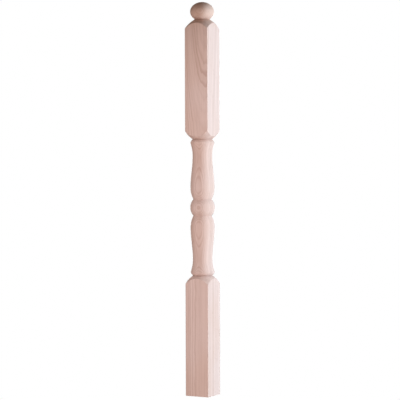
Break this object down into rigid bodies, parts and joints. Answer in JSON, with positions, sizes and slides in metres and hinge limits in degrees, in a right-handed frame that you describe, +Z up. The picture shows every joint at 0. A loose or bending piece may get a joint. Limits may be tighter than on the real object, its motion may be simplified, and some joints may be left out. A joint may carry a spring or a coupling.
{
  "type": "newel post",
  "caption": "Square timber newel post with a turned vase middle, rounded shoulders and a squat ball top, to end and carry a stair handrail.",
  "frame": {"origin": "centre of the square foot, on the floor it stands on", "axes": "+Z up along the post's axis; -Y out of the face that shows wide at the left of the picture, +X out of the narrow face at its right"},
  "size_m": [0.0794, 0.0794, 1.2192],
  "materials": {
    "beech": "bare steamed beech, planed on the flats, turned and sanded on the rounds, with no varnish"
  },
  "bodies": {
    "root": {"newel_post": "beech"}
  },
  "joints": []
}
